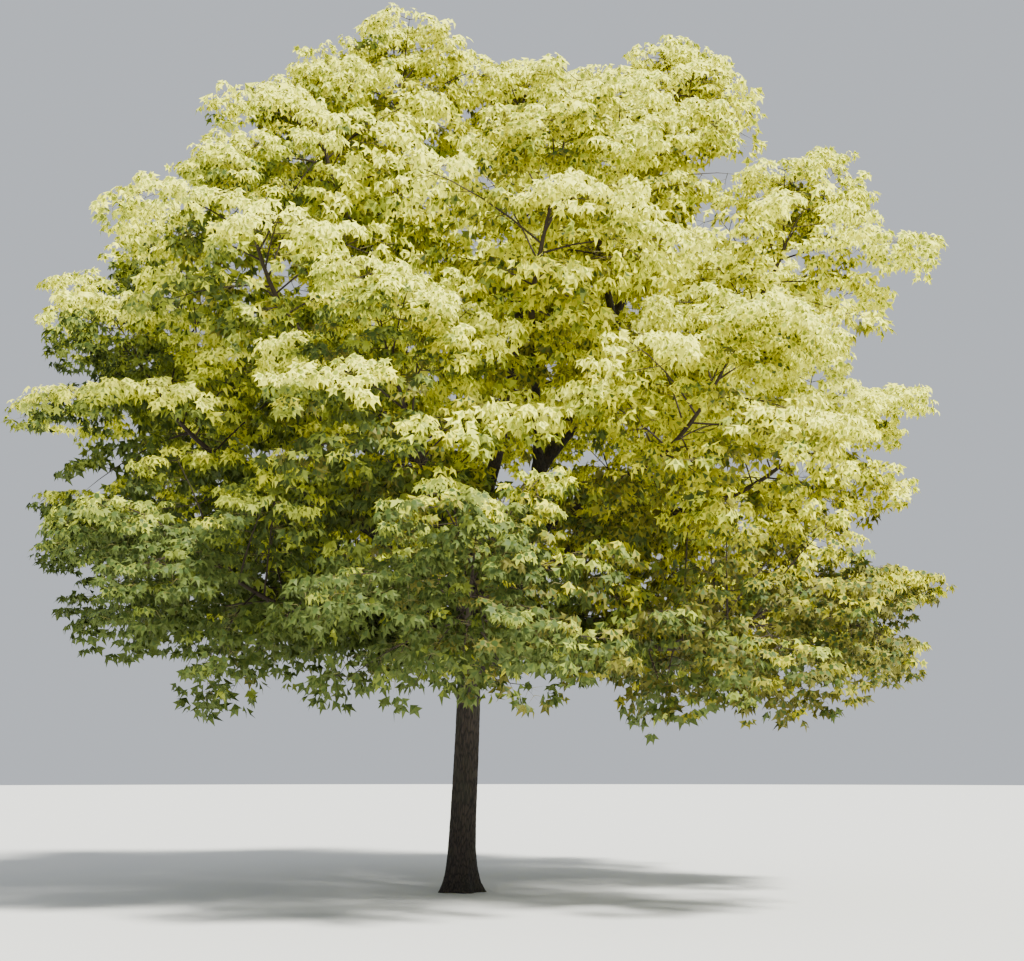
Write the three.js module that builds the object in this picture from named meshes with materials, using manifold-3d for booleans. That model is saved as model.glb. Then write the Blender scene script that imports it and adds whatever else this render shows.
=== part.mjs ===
// A variegated maple: a short trunk with a root flare, three leaders, boughs in rings and a domed
// crown of separate masses of foliage. Millimetres, +Z up, origin in the flat cut under the trunk.
import * as THREE from "three";
import { mergeVertices } from "three/addons/utils/BufferGeometryUtils.js";
import Module from "manifold-3d";

const wasm = await Module();
wasm.setup();

const UP = new THREE.Vector3(0, 0, 1);
const GOLDEN_ANGLE = Math.PI * (3 - Math.sqrt(5));
const SEED = 32;

// Pieces that meet stay this far apart, a limb's cut foot too once its slanted facets are allowed
// for, and masses keep the wide gap to the limbs they don't grow from and to each other
const SEAT_GAP = 0.3;
const CUT_GAP = 0.36;
const MASS_GAP = 12;

// Points closer than the weld are one point, and a join drops edges shorter than the sliver
const WELD = 1e-4;
const SLIVER = 0.5;

// Trunk: height of the fork, radius above the flare and at the fork, how far it bows and leans to
// the right, and the shares of its height that it stands upright and bows most at
const TRUNK_HEIGHT = 4400;
const TRUNK_RADIUS = 176;
const FORK_RADIUS = 132;
const TRUNK_BOW = 170;
const TRUNK_LEAN = 60;
const UPRIGHT_TO = 0.25;
const BOW_AT = 0.6;
const TRUNK_SIDES = 15;
const TRUNK_STEPS = 12;

// Root flare: how much it widens the foot, the height over which it fades, and its lobes
const FLARE_WIDTH = 110;
const FLARE_HEIGHT = 230;
const FLARE_LOBES = 5;
const LOBE_DEPTH = 0.16;

// Limbs: radius at the tip, how much the foot gains for each unit of length up to a share of its
// parent's radius, where a side bough leaves its neighbour, and the bend and where it is greatest
const LIMB_TIP_RADIUS = 40;
const BOUGH_TAPER = 0.013;
const LEADER_TAPER = 0.010;
const FOOT_SHARE = 0.8;
const SIDE_BOUGH_AT = 0.42;
const BEND_AT = 0.42;
const BOUGH_ARCH = 0.13;
const LEADER_BOW = 0.15;
const LIMB_SIDES = 6;
const LIMB_STEPS = 5;

// How often the search for a height on a limb halves its stretch
const HALVINGS = 30;

// Crown: every mass is a flattened ball, this high for its width, that its neighbours cut. The
// rings stand a little to the right of the trunk, and the masses grow away from the focus.
const FLATNESS = 0.76;
const CROWN_SHIFT = 240;
const CROWN_FOCUS = new THREE.Vector3(0, 0, 2600);

// How widely a mass strays from its ring's reach and height, and in size
const REACH_SPREAD = 240;
const HEIGHT_SPREAD = 260;
const SIZE_SPREAD = 140;

// Rings of masses: how many, bearing of the first in degrees, how far out and how high their
// centres lie, their half width, and how far the ring rises for each unit to the right and back.
// Every other bough leaves the trunk or a leader, from the foot height on, one step higher each
// time, and the one between grows from its side.
const RINGS = [
  {
    name: "skirt",
    count: 8,
    bearing: 0,
    reach: 4150,
    height: 4050,
    size: 2100,
    right: -0.1,
    back: 0.13,
    foot: 2720,
    step: 40,
    color: 0x8f9a4a,
  },
  {
    name: "waist",
    count: 7,
    bearing: 0,
    reach: 4120,
    height: 6000,
    size: 2100,
    right: -0.02,
    back: 0.06,
    foot: 3400,
    step: 35,
    color: 0xa9ad5c,
  },
  {
    name: "shoulder",
    count: 7,
    bearing: 180,
    reach: 3950,
    height: 7800,
    size: 2050,
    right: 0.05,
    back: 0.05,
    foot: 4900,
    step: 260,
    color: 0xbdbc6c,
  },
  {
    name: "upper",
    count: 4,
    bearing: 45,
    reach: 2700,
    height: 9350,
    size: 1850,
    right: -0.12,
    back: 0.18,
    foot: 6900,
    step: 200,
    color: 0xcac878,
  },
];

// Leaders: foot height on the trunk, and the centre and half width of the mass that each carries
const LEADERS = [
  { name: "left", foot: 3930, centre: [-950, -200, 10850], size: 1550 },
  { name: "right", foot: 4120, centre: [3000, 0, 11000], size: 1150 },
  { name: "back", foot: TRUNK_HEIGHT, centre: [850, 1050, 11250], size: 1280 },
];
const SPIRE_COLOR = 0xd6d388;
const BARK_COLOR = 0x3b3129;

// Stem of a mass: how deep the limb enters, from the middle to the skin, how far past the middle
// the stem runs, and its radius and bend
const ENTRY_DEPTH = 0.8;
const STEM_BEYOND = 0.25;
const STEM_RADIUS = 48;
const STEM_TIP_RADIUS = 40;
const STEM_STEPS = 3;
const STEM_BEND = 0.45;

// Twigs: the last one's number, the stretch of the stem that they leave, and the least share of
// the way to the skin that one grows
const TWIGS = 15;
const TWIG_FIRST = 0.12;
const TWIG_LAST = 0.97;
const TWIG_LEAST = 0.35;
const TWIG_SIDES = 3;
const TWIG_RADIUS = 19;

// Leaves: each stands for a spray, and one that has no room is tried smaller before it is skipped
const MOST_LEAVES = 16;
const LEAF_LENGTH = 1280;
const LEAF_THICKNESS = 34;
const LEAF_FITS = [1, 0.88, 0.76, 0.65];

// How a leaf hangs: its droop on a level twig, how far it turns to face outward, and how near the
// skin its point comes
const LEAF_DROOP = 0.9;
const LEAF_FACING = 0.55;
const LEAF_INSET = 0.93;

// Leaves in pairs: where on a twig they stand, their angle to it, and the radius and length of
// their stalks in shares of the twig's radius and the leaf's length
const PAIRS_AT = [0.75, 0.4];
const PAIR_ANGLE = 1.1;
const STALK_SHARE = 0.45;
const STALK_LENGTH = 0.38;

// A leaf with five points, along and across it in shares of its length: where its twig's tip and
// its thickest place lie, its base, and one half of its outline
const LEAF_HOLD = 0.26;
const LEAF_MIDDLE = 0.42;
const LEAF_BASE = 0.07;
const LEAF_HALF = [
  [0.0, 0.31],
  [0.5, 0.5],
  [0.6, 0.18],
];

// A repeatable run of numbers from 0 to 1
function stream(seed) {
  let state = seed >>> 0;
  return () => {
    state = (state + 0x6d2b79f5) >>> 0;
    let mixed = Math.imul(state ^ (state >>> 15), state | 1);
    mixed ^= mixed + Math.imul(mixed ^ (mixed >>> 7), mixed | 61);
    return ((mixed ^ (mixed >>> 14)) >>> 0) / 4294967296;
  };
}

const random = stream(SEED);

function spread(width) {
  return (random() - 0.5) * width;
}

// A closed mesh from its points and its triangles
function closedGeometry(points, faces) {
  const geometry = new THREE.BufferGeometry().setFromPoints(points);
  geometry.setIndex(faces.flat());
  return geometry;
}

function solidFrom(geometry) {
  const merged = mergeVertices(geometry, WELD);
  return new wasm.Manifold(
    new wasm.Mesh({
      numProp: 3,
      vertProperties: new Float32Array(merged.attributes.position.array),
      triVerts: new Uint32Array(merged.index.array),
    }),
  );
}

// The largest body of a solid: loose scraps go
function mainBody(solid) {
  return solid.decompose().reduce((best, body) => (body.volume() > best.volume() ? body : best));
}

// A named mesh in its place, with its geometry measured from there
function placedMesh(name, solid, origin, material) {
  const { vertProperties, triVerts } = solid.getMesh();
  const geometry = new THREE.BufferGeometry();
  geometry.setAttribute("position", new THREE.BufferAttribute(new Float32Array(vertProperties), 3));
  geometry.setIndex(new THREE.BufferAttribute(new Uint32Array(triVerts), 1));
  geometry.translate(-origin.x, -origin.y, -origin.z);
  const faceted = geometry.toNonIndexed();
  faceted.computeVertexNormals();
  const mesh = new THREE.Mesh(faceted, material);
  mesh.name = name;
  mesh.position.copy(origin);
  return mesh;
}

function barkMaterial() {
  return new THREE.MeshStandardMaterial({ color: BARK_COLOR, roughness: 0.9, metalness: 0 });
}

function leafMaterial(color) {
  return new THREE.MeshStandardMaterial({ color, roughness: 0.6, metalness: 0 });
}

// A closed tube along a curve with flat ends, which run on past both tips by the overrun
function tube(curve, radiusAt, sides, steps, overrun = 0) {
  const frames = curve.computeFrenetFrames(steps, false);
  const points = [];
  const faces = [];
  for (let i = 0; i <= steps; i++)
    for (let j = 0; j < sides; j++) {
      const turn = (2 * Math.PI * j) / sides;
      const radius = radiusAt(i / steps, turn);
      const past = i === steps ? overrun : i === 0 ? -overrun : 0;
      const point = curve.getPoint(i / steps).addScaledVector(frames.tangents[i], past);
      point.addScaledVector(frames.normals[i], radius * Math.cos(turn));
      point.addScaledVector(frames.binormals[i], radius * Math.sin(turn));
      points.push(point);
    }
  for (let i = 0; i < steps; i++)
    for (let j = 0; j < sides; j++) {
      const a = i * sides + j;
      const b = i * sides + ((j + 1) % sides);
      faces.push([a, b, a + sides], [b, b + sides, a + sides]);
    }
  const last = steps * sides;
  for (let j = 1; j < sides - 1; j++) faces.push([0, j + 1, j], [last, last + j, last + j + 1]);
  return solidFrom(closedGeometry(points, faces));
}

// The trunk: bowed a little to the right, with a lobed flare that dies out up the stem
function trunkCurve() {
  return new THREE.CubicBezierCurve3(
    new THREE.Vector3(0, 0, 0),
    new THREE.Vector3(0, 0, UPRIGHT_TO * TRUNK_HEIGHT),
    new THREE.Vector3(TRUNK_BOW, 0, BOW_AT * TRUNK_HEIGHT),
    new THREE.Vector3(TRUNK_LEAN, 0, TRUNK_HEIGHT),
  );
}

function trunkRadius(height, turn) {
  const stem = THREE.MathUtils.lerp(TRUNK_RADIUS, FORK_RADIUS, height / TRUNK_HEIGHT);
  const fade = Math.exp(-height / FLARE_HEIGHT);
  return (stem + FLARE_WIDTH * fade) * (1 + LOBE_DEPTH * fade * Math.cos(FLARE_LOBES * turn));
}

// A limb is a curve with a radius at each share of its length, and the solid that holds both
function limb(name, curve, radiusAt, sides = LIMB_SIDES, steps = LIMB_STEPS) {
  const grown = (extra) => tube(curve, (share, turn) => radiusAt(share, turn) + extra, sides, steps, extra);
  return { name, curve, radiusAt, grown, solid: grown(0) };
}

function makeTrunk() {
  const curve = trunkCurve();
  const radiusAt = (share, turn) => trunkRadius(curve.getPoint(share).z, turn);
  return limb("trunk", curve, radiusAt, TRUNK_SIDES, TRUNK_STEPS);
}

// The share of a rising limb's length at which it reaches a height
function shareAtHeight(parent, height) {
  let low = 0;
  let high = 1;
  for (let i = 0; i < HALVINGS; i++) {
    const middle = (low + high) / 2;
    if (parent.curve.getPoint(middle).z < height) low = middle;
    else high = middle;
  }
  return low;
}

// A limb that starts on its parent's axis and is cut back to just clear of the parent's surface
function branchFrom(parent, share, name, tip, taper, bend) {
  const foot = parent.curve.getPoint(share);
  const length = foot.distanceTo(tip);
  const middle = foot.clone().lerp(tip, BEND_AT).addScaledVector(bend, length);
  const curve = new THREE.QuadraticBezierCurve3(foot, middle, tip);
  const thickest = FOOT_SHARE * parent.radiusAt(share, 0);
  const footRadius = Math.min(LIMB_TIP_RADIUS + taper * length, thickest);
  const made = limb(name, curve, (at) => THREE.MathUtils.lerp(footRadius, LIMB_TIP_RADIUS, at));
  made.solid = mainBody(made.solid.subtract(parent.grown(CUT_GAP)));
  return made;
}

// The masses: the rings, then one on each leader
function massList() {
  const masses = [];
  for (const ring of RINGS)
    for (let k = 0; k < ring.count; k++) {
      const bearing = THREE.MathUtils.degToRad(ring.bearing + (360 * k) / ring.count);
      const reach = ring.reach + spread(REACH_SPREAD);
      const x = reach * Math.cos(bearing) + CROWN_SHIFT;
      const y = reach * Math.sin(bearing);
      const z = ring.height + ring.right * x + ring.back * y + spread(HEIGHT_SPREAD);
      const centre = new THREE.Vector3(x, y, z);
      masses.push({ name: `${ring.name}_${k + 1}`, ring, k, centre, size: ring.size + spread(SIZE_SPREAD) });
    }
  for (const leader of LEADERS)
    masses.push({
      name: `spire_${leader.name}`,
      leader,
      centre: new THREE.Vector3(...leader.centre),
      size: leader.size,
    });
  return masses;
}

// The space of a mass: its flattened ball, walled off where a neighbour's ball lies nearer
function spaceOf(mass, masses) {
  const flatten = (v) => new THREE.Vector3(v.x, v.y, v.z / FLATNESS);
  const fromCentre = (point) => flatten(point).sub(flatten(mass.centre));
  const walls = [];
  for (const other of masses) {
    const across = fromCentre(other.centre);
    const distance = across.length();
    if (distance === 0 || distance > mass.size + other.size) continue;
    const middle = (distance ** 2 + mass.size ** 2 - other.size ** 2) / (2 * distance);
    walls.push({ normal: across.normalize(), offset: middle - MASS_GAP });
  }
  const holds = (point) => {
    const from = fromCentre(point);
    return from.length() < mass.size && walls.every((wall) => from.dot(wall.normal) < wall.offset);
  };
  // How far a point can move in a direction before it leaves the space
  const room = (point, direction) => {
    const from = fromCentre(point);
    const way = flatten(direction);
    const along = from.dot(way);
    const length = way.lengthSq();
    let most = (Math.sqrt(along ** 2 - length * (from.lengthSq() - mass.size ** 2)) - along) / length;
    for (const wall of walls) {
      const speed = way.dot(wall.normal);
      if (speed > 0) most = Math.min(most, (wall.offset - from.dot(wall.normal)) / speed);
    }
    return most;
  };
  return { holds, room };
}

// The line that a mass grows along, and the point where its limb enters, well inside its space
function plantMass(mass, masses) {
  mass.space = spaceOf(mass, masses);
  mass.axis = mass.centre.clone().sub(CROWN_FOCUS).normalize();
  const back = mass.axis.clone().negate();
  const depth = ENTRY_DEPTH * mass.space.room(mass.centre, back);
  mass.entry = mass.centre.clone().addScaledVector(back, depth);
}

function growLimbs(trunk, masses) {
  const limbs = [trunk];
  const leaders = LEADERS.map((leader) => {
    const mass = masses.find((other) => other.leader === leader);
    const outward = new THREE.Vector3(mass.centre.x, mass.centre.y, 0).normalize();
    const share = shareAtHeight(trunk, leader.foot);
    const bend = outward.multiplyScalar(LEADER_BOW);
    mass.limb = branchFrom(trunk, share, `leader_${leader.name}`, mass.entry, LEADER_TAPER, bend);
    return mass.limb;
  });
  limbs.push(...leaders);
  const arch = UP.clone().multiplyScalar(BOUGH_ARCH);
  for (const mass of masses.filter((one) => one.ring)) {
    const { ring, k } = mass;
    const height = ring.foot + k * ring.step;
    let parent = trunk;
    let share = shareAtHeight(trunk, height);
    if (ring.foot > TRUNK_HEIGHT) {
      const away = (leader) => leader.curve.getPoint(shareAtHeight(leader, height)).distanceTo(mass.centre);
      parent = leaders.reduce((best, leader) => (away(leader) < away(best) ? leader : best));
      share = shareAtHeight(parent, height);
    } else if (k % 2 === 1) {
      parent = limbs.at(-1);
      share = SIDE_BOUGH_AT;
    }
    mass.limb = branchFrom(parent, share, `bough_${mass.name}`, mass.entry, BOUGH_TAPER, arch);
    limbs.push(mass.limb);
  }
  return limbs;
}

// The way a leaf points on a stalk with this direction: on a level stalk it hangs the most
function hanging(direction) {
  const along = direction.clone();
  along.z -= LEAF_DROOP * Math.hypot(direction.x, direction.y);
  return along.normalize();
}

// A leaf that holds the tip of its twig: its outline drawn to a point above and below its middle
function leafBlade(tip, along, normal, length) {
  const across = new THREE.Vector3().crossVectors(normal, along);
  const place = ([u, v], rise) =>
    tip
      .clone()
      .addScaledVector(along, (u - LEAF_HOLD) * length)
      .addScaledVector(across, v * length)
      .addScaledVector(normal, rise);
  const otherHalf = LEAF_HALF.map(([u, v]) => [u, -v]);
  const outline = [[LEAF_BASE, 0], ...otherHalf, [1, 0], ...LEAF_HALF.toReversed()];
  const rim = outline.map((point) => place(point, 0));
  const middle = [LEAF_MIDDLE, 0];
  const points = [...rim, place(middle, LEAF_THICKNESS / 2), place(middle, -LEAF_THICKNESS / 2)];
  const faces = [];
  for (let i = 0; i < rim.length; i++) {
    const next = (i + 1) % rim.length;
    faces.push([i, next, rim.length], [next, i, rim.length + 1]);
  }
  return { rim, blade: solidFrom(closedGeometry(points, faces)) };
}

// A three-sided twig or leaf stalk that runs to a point
function spike(root, tip, radius) {
  const direction = tip.clone().sub(root).normalize();
  const across = new THREE.Vector3().crossVectors(UP, direction).normalize();
  const above = new THREE.Vector3().crossVectors(direction, across);
  const points = [tip];
  for (let i = 0; i < TWIG_SIDES; i++) {
    const turn = (2 * Math.PI * i) / TWIG_SIDES;
    const point = root.clone().addScaledVector(across, radius * Math.sin(turn));
    points.push(point.addScaledVector(above, radius * Math.cos(turn)));
  }
  return solidFrom(closedGeometry(points, [[1, 2, 3], [1, 0, 2], [2, 0, 3], [3, 0, 1]]));
}

// One mass: a stem on from the limb, twigs to evenly spread places on the skin of its space with
// a leaf at each tip, and more leaves in pairs along them. What would touch another is left out.
function growMass(mass, guard) {
  const { centre, space } = mass;
  const stemCurve = stemOf(mass);
  const stemRadius = (share) => THREE.MathUtils.lerp(STEM_RADIUS, STEM_TIP_RADIUS, share);
  const stem = { blade: null, wood: tube(stemCurve, stemRadius, TWIG_SIDES, STEM_STEPS) };
  const leaves = [];
  const clear = (solid, others) => others.every((other) => !other || other.intersect(solid).isEmpty());

  // The largest leaf that fits on a twig whose length may depend on the leaf's own reach. Only its
  // twig touches the wood that carries it.
  function addLeaf(root, direction, twigLength, radius, carrier) {
    if (leaves.length === MOST_LEAVES) return;
    const along = hanging(direction);
    const outward = root.clone().sub(centre).normalize();
    const normal = UP.clone().addScaledVector(outward, LEAF_FACING);
    normal.addScaledVector(along, -normal.dot(along)).normalize();
    const others = [stem, ...leaves].filter((other) => other !== carrier);
    const foreign = [guard, carrier.blade, ...others.flatMap((other) => [other.wood, other.blade])];
    for (const fit of LEAF_FITS) {
      const length = fit * LEAF_LENGTH;
      const tip = root.clone().addScaledVector(direction, twigLength(along, length));
      const { rim, blade } = leafBlade(tip, along, normal, length);
      if (!rim.every(space.holds) || !clear(blade, [carrier.wood, ...foreign])) continue;
      const wood = spike(root, tip, radius);
      if (!clear(wood, foreign)) continue;
      leaves.push({ root, tip, direction, wood, blade });
      return;
    }
  }

  const side = new THREE.Vector3().crossVectors(mass.axis, UP).normalize();
  const above = new THREE.Vector3().crossVectors(side, mass.axis);
  const firstTurn = 2 * Math.PI * random();
  for (let k = 0; k <= TWIGS; k++) {
    const forward = Math.min(-1 + (2 * k + 1) / TWIGS, 1);
    const turn = firstTurn + k * GOLDEN_ANGLE;
    const sideways = Math.sqrt(1 - forward ** 2);
    const aim = mass.axis.clone().multiplyScalar(forward);
    aim.addScaledVector(side, sideways * Math.cos(turn));
    aim.addScaledVector(above, sideways * Math.sin(turn));
    const target = centre.clone().addScaledVector(aim, space.room(centre, aim));
    const root = stemCurve.getPoint(THREE.MathUtils.lerp(TWIG_FIRST, TWIG_LAST, k / TWIGS));
    const direction = target.sub(root).normalize();
    const least = TWIG_LEAST * space.room(root, direction);
    const reach = (along, length) => {
      const leafTip = root.clone().addScaledVector(along, (1 - LEAF_HOLD) * length);
      return space.holds(leafTip) ? Math.max(least, LEAF_INSET * space.room(leafTip, direction)) : least;
    };
    addLeaf(root, direction, reach, TWIG_RADIUS, stem);
  }
  const twigs = [...leaves];
  for (const at of PAIRS_AT)
    for (const twig of twigs)
      for (const turn of [-PAIR_ANGLE, PAIR_ANGLE]) {
        const root = twig.root.clone().lerp(twig.tip, at);
        const direction = twig.direction.clone().applyAxisAngle(UP, turn);
        const radius = STALK_SHARE * TWIG_RADIUS * (1 - at);
        addLeaf(root, direction, (along, length) => STALK_LENGTH * length, radius, twig);
      }
  const solids = [stem.wood, ...leaves.flatMap((leaf) => [leaf.wood, leaf.blade])];
  return mainBody(wasm.Manifold.union(solids).simplify(SLIVER));
}

// The stem of a mass: on from the limb's tip, just clear of it, through the middle of the space
function stemOf(mass) {
  const tipDirection = mass.limb.curve.getTangent(1);
  const start = mass.entry.clone().addScaledVector(tipDirection, SEAT_GAP);
  const beyond = STEM_BEYOND * mass.space.room(mass.centre, mass.axis);
  const end = mass.centre.clone().addScaledVector(mass.axis, beyond);
  const bend = start.clone().addScaledVector(tipDirection, STEM_BEND * start.distanceTo(end));
  return new THREE.QuadraticBezierCurve3(start, bend, end);
}

// The whole tree, limbs first
const trunk = makeTrunk();
const masses = massList();
for (const mass of masses) plantMass(mass, masses);
const limbs = growLimbs(trunk, masses);
const guard = wasm.Manifold.union(limbs.map((one) => one.grown(MASS_GAP)));

const tree = new THREE.Group();
tree.name = "variegated_maple";
const wood = new THREE.Group();
wood.name = "wood";
const crown = new THREE.Group();
crown.name = "crown";
tree.add(wood, crown);
for (const one of limbs) wood.add(placedMesh(one.name, one.solid, one.curve.getPoint(0), barkMaterial()));
for (const mass of masses) {
  const color = mass.ring ? mass.ring.color : SPIRE_COLOR;
  crown.add(placedMesh(`mass_${mass.name}`, growMass(mass, guard), mass.centre, leafMaterial(color)));
}

export default tree;
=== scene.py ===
"""A variegated maple in full leaf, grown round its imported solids.

The trunk, leaders and boughs get a mesh with the relief of bark. In place of each mass of foliage,
twigs and leaves grow on from its limb by the rule of the solids, carried on to finer twigs.
Metres, +Z up, with the origin in the flat cut under the trunk.
"""

import math
from types import SimpleNamespace

import bpy
import numpy as np
from bpy.props import FloatProperty, FloatVectorProperty, PointerProperty
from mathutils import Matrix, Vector, noise


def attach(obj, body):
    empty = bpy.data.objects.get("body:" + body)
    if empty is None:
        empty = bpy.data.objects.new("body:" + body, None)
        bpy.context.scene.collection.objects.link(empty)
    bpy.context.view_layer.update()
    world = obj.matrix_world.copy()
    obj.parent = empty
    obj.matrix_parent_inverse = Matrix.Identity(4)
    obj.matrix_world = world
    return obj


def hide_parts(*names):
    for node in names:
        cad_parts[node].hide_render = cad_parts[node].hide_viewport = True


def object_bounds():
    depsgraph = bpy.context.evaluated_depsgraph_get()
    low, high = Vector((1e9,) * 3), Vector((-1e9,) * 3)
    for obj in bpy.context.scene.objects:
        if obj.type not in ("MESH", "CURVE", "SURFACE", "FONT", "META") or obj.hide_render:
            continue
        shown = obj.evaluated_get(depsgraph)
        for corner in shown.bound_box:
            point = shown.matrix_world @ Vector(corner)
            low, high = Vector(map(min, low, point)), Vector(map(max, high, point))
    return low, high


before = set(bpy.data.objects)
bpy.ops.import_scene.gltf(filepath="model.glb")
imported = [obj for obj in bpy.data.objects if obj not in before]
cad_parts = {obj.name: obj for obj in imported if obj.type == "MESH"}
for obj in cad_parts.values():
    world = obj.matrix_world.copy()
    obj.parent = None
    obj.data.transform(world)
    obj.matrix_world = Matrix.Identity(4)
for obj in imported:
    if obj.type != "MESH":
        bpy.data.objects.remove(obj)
cad_low, cad_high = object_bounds()

bl_info = {
    "name": "Variegated maple tree",
    "version": (1, 0, 0),
    "blender": (4, 5, 0),
    "location": "View3D > Sidebar > Maple",
    "description": "A broad maple with cream-edged leaves, grown from a seeded rule",
    "category": "Add Mesh",
}

UP = np.array((0.0, 0.0, 1.0))
GOLDEN_ANGLE = math.pi * (3 - math.sqrt(5))
NEARLY_ZERO = 1e-9

# The rule that the solids grow by, with the same values in metres
SEED = 32
STREAM_STEP = 0x6D2B79F5
STREAM_MASK = 0xFFFFFFFF
SEAT_GAP = 0.0003
MASS_GAP = 0.012

TRUNK_HEIGHT = 4.4
TRUNK_RADIUS = 0.176
FORK_RADIUS = 0.132
TRUNK_BOW = 0.17
TRUNK_LEAN = 0.06
UPRIGHT_TO = 0.25
BOW_AT = 0.6
FLARE_WIDTH = 0.11
FLARE_HEIGHT = 0.23
FLARE_LOBES = 5
LOBE_DEPTH = 0.16

LIMB_TIP_RADIUS = 0.04
BOUGH_TAPER = 0.013
LEADER_TAPER = 0.010
FOOT_SHARE = 0.8
SIDE_BOUGH_AT = 0.42
BEND_AT = 0.42
BOUGH_ARCH = 0.13
LEADER_BOW = 0.15
HALVINGS = 30

FLATNESS = 0.76
CROWN_SHIFT = 0.24
CROWN_FOCUS = np.array((0.0, 0.0, 2.6))
REACH_SPREAD = 0.24
HEIGHT_SPREAD = 0.26
SIZE_SPREAD = 0.14

# Rings of masses: how many, bearing of the first in degrees, how far out and how high, half width,
# how far the ring rises for each metre to the right and back, and where its boughs leave the trunk
RINGS = [
    dict(name="skirt", count=8, bearing=0, reach=4.15, height=4.05, size=2.1,
         right=-0.1, back=0.13, foot=2.72, step=0.04),
    dict(name="waist", count=7, bearing=0, reach=4.12, height=6.0, size=2.1,
         right=-0.02, back=0.06, foot=3.4, step=0.035),
    dict(name="shoulder", count=7, bearing=180, reach=3.95, height=7.8, size=2.05,
         right=0.05, back=0.05, foot=4.9, step=0.26),
    dict(name="upper", count=4, bearing=45, reach=2.7, height=9.35, size=1.85,
         right=-0.12, back=0.18, foot=6.9, step=0.2),
]

# Leaders: where each leaves the trunk, and the middle and half width of the mass that it carries
LEADERS = [
    dict(name="left", foot=3.93, centre=(-0.95, -0.2, 10.85), size=1.55),
    dict(name="right", foot=4.12, centre=(3.0, 0.0, 11.0), size=1.15),
    dict(name="back", foot=TRUNK_HEIGHT, centre=(0.85, 1.05, 11.25), size=1.28),
]

ENTRY_DEPTH = 0.8
STEM_BEYOND = 0.25
STEM_BEND = 0.45
TWIGS = 15
TWIG_FIRST = 0.12
TWIG_LAST = 0.97
PAIR_ANGLE = 1.1
LEAF_DROOP = 0.9
LEAF_FACING = 0.55

# What the scene adds to the rule. Stems: the radius at the end, and the mesh
STEM_END_RADIUS = 0.014
STEM_SIDES = 8
STEM_RINGS = 9

# The meshes of the finer wood, which tapers by a share of its radius, and the material of each kind
WOOD_TAPER = 0.75
WOOD = {
    "twigs": dict(foot_radius=0.013, sides=5, rings=5, look=0),
    "branchlets": dict(foot_radius=0.006, sides=3, rings=2, look=0),
    "shoots": dict(foot_radius=0.0035, sides=3, rings=1, look=1),
}

# The crown's level underside and its middle, and how much further masses reach towards the trunk
CROWN_FOOT = 2.12
CROWN_MIDDLE = np.array((0.1, 0.0, 6.2))
INNER_REACH = 1.0

# Twigs: how far short of the skin they end, and how much more on the crown's outside, how they
# vary and arch up, and how they and their branchlets sag, most of all in the skirt
SKIN_MARGIN = 0.06
OUTER_MARGIN = 0.36
TWIG_VARIATION = 0.26
TWIG_SHORTEST = 0.35
TWIG_ARCH = 0.1
TWIG_SAG = 0.08
BRANCHLET_SAG = 0.3
SKIRT_SAG = 0.6

# Twigs on the sides of the limbs, short of the masses: where the pairs stand, their length, angle
# and share of rise, and how far above the crown's foot they have to end
SIDE_TWIGS_AT = (0.52, 0.68, 0.84)
SIDE_TWIG_LENGTH = 0.95
SIDE_TWIG_ANGLE = 1.0
SIDE_TWIG_LEVEL = 0.8
LOW_TWIG_MARGIN = 0.05

# Pairs of any kind: from which slope and how fast they turn across each other on a steep parent,
# how far a pair strays from its place, and how the lengths vary
STEEP_FROM = 0.5
STEEP_RATE = 3
PAIR_ROLL = 0.35
PAIR_SHORTEST = 0.8
PAIR_LONGEST = 1.15

# Branchlets: where on a twig the pairs stand, how much shorter they are away from the widest pair,
# how long they are for the twig's length, and their share of rise
BRANCHLETS_AT = (0.24, 0.46, 0.68, 0.88)
WIDEST_PAIR_AT = 0.46
BRANCHLET_TAPER = 0.9
BRANCHLET_SHARE = 0.52
BRANCHLET_LONGEST = 0.8
BRANCHLET_SHORTEST = 0.16
BRANCHLET_LEVEL = 0.7

# Shoots: where on a branchlet the pairs stand, how long a branchlet must be to bear each pair, how
# their length falls from the branchlet's foot to its tip, and their angle and share of rise
SHOOTS_AT = (0.25, 0.45, 0.65, 0.85)
SHOOT_BEARERS = (0.46, 0.36, 0.26, 0.16)
SHOOT_LENGTH = 0.2
SHOOT_AT_FOOT = 1.1
SHOOT_FALL = 0.3
SHOOT_ANGLE = 0.95
SHOOT_LEVEL = 0.8

# A branchlet or shoot grows where its tip has at least this many others within reach
COMPANY_REACH = 0.4
COMPANY_LEAST = 7

# Leaves of a spray: the angle of each round the shoot, how many an inner spray has, what counts as
# outer, how the blades turn, droop and face, their stalks, and their sizes
SPRAY_ANGLES = (0.0, 0.85, -0.85, 1.75, -1.75, 2.65)
INNER_SPRAY = 3
OUTER_FROM = 0.2
CROWN_DRAWN_IN = (1, 1, 0.8)
ANGLE_JITTER = 0.35
OUTWARD_TURN = 0.7
DROOP_LEAST = 0.45
DROOP_MOST = 2.3
FACING_JITTER = 0.42
SAG_SPREAD = 0.6
STALK_LEAST = 0.04
STALK_MOST = 0.1
STALK_LOWEST = -0.2
STALK_STEEPEST = 0.6
STALK_FORWARD = 0.35
STALK_HALF_WIDTH = 0.0022
LEAF_SMALLEST = 0.8
LEAF_LARGEST = 1.18
SUN_LEAF = 0.94
SHADE_LEAF = 1.3

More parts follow.
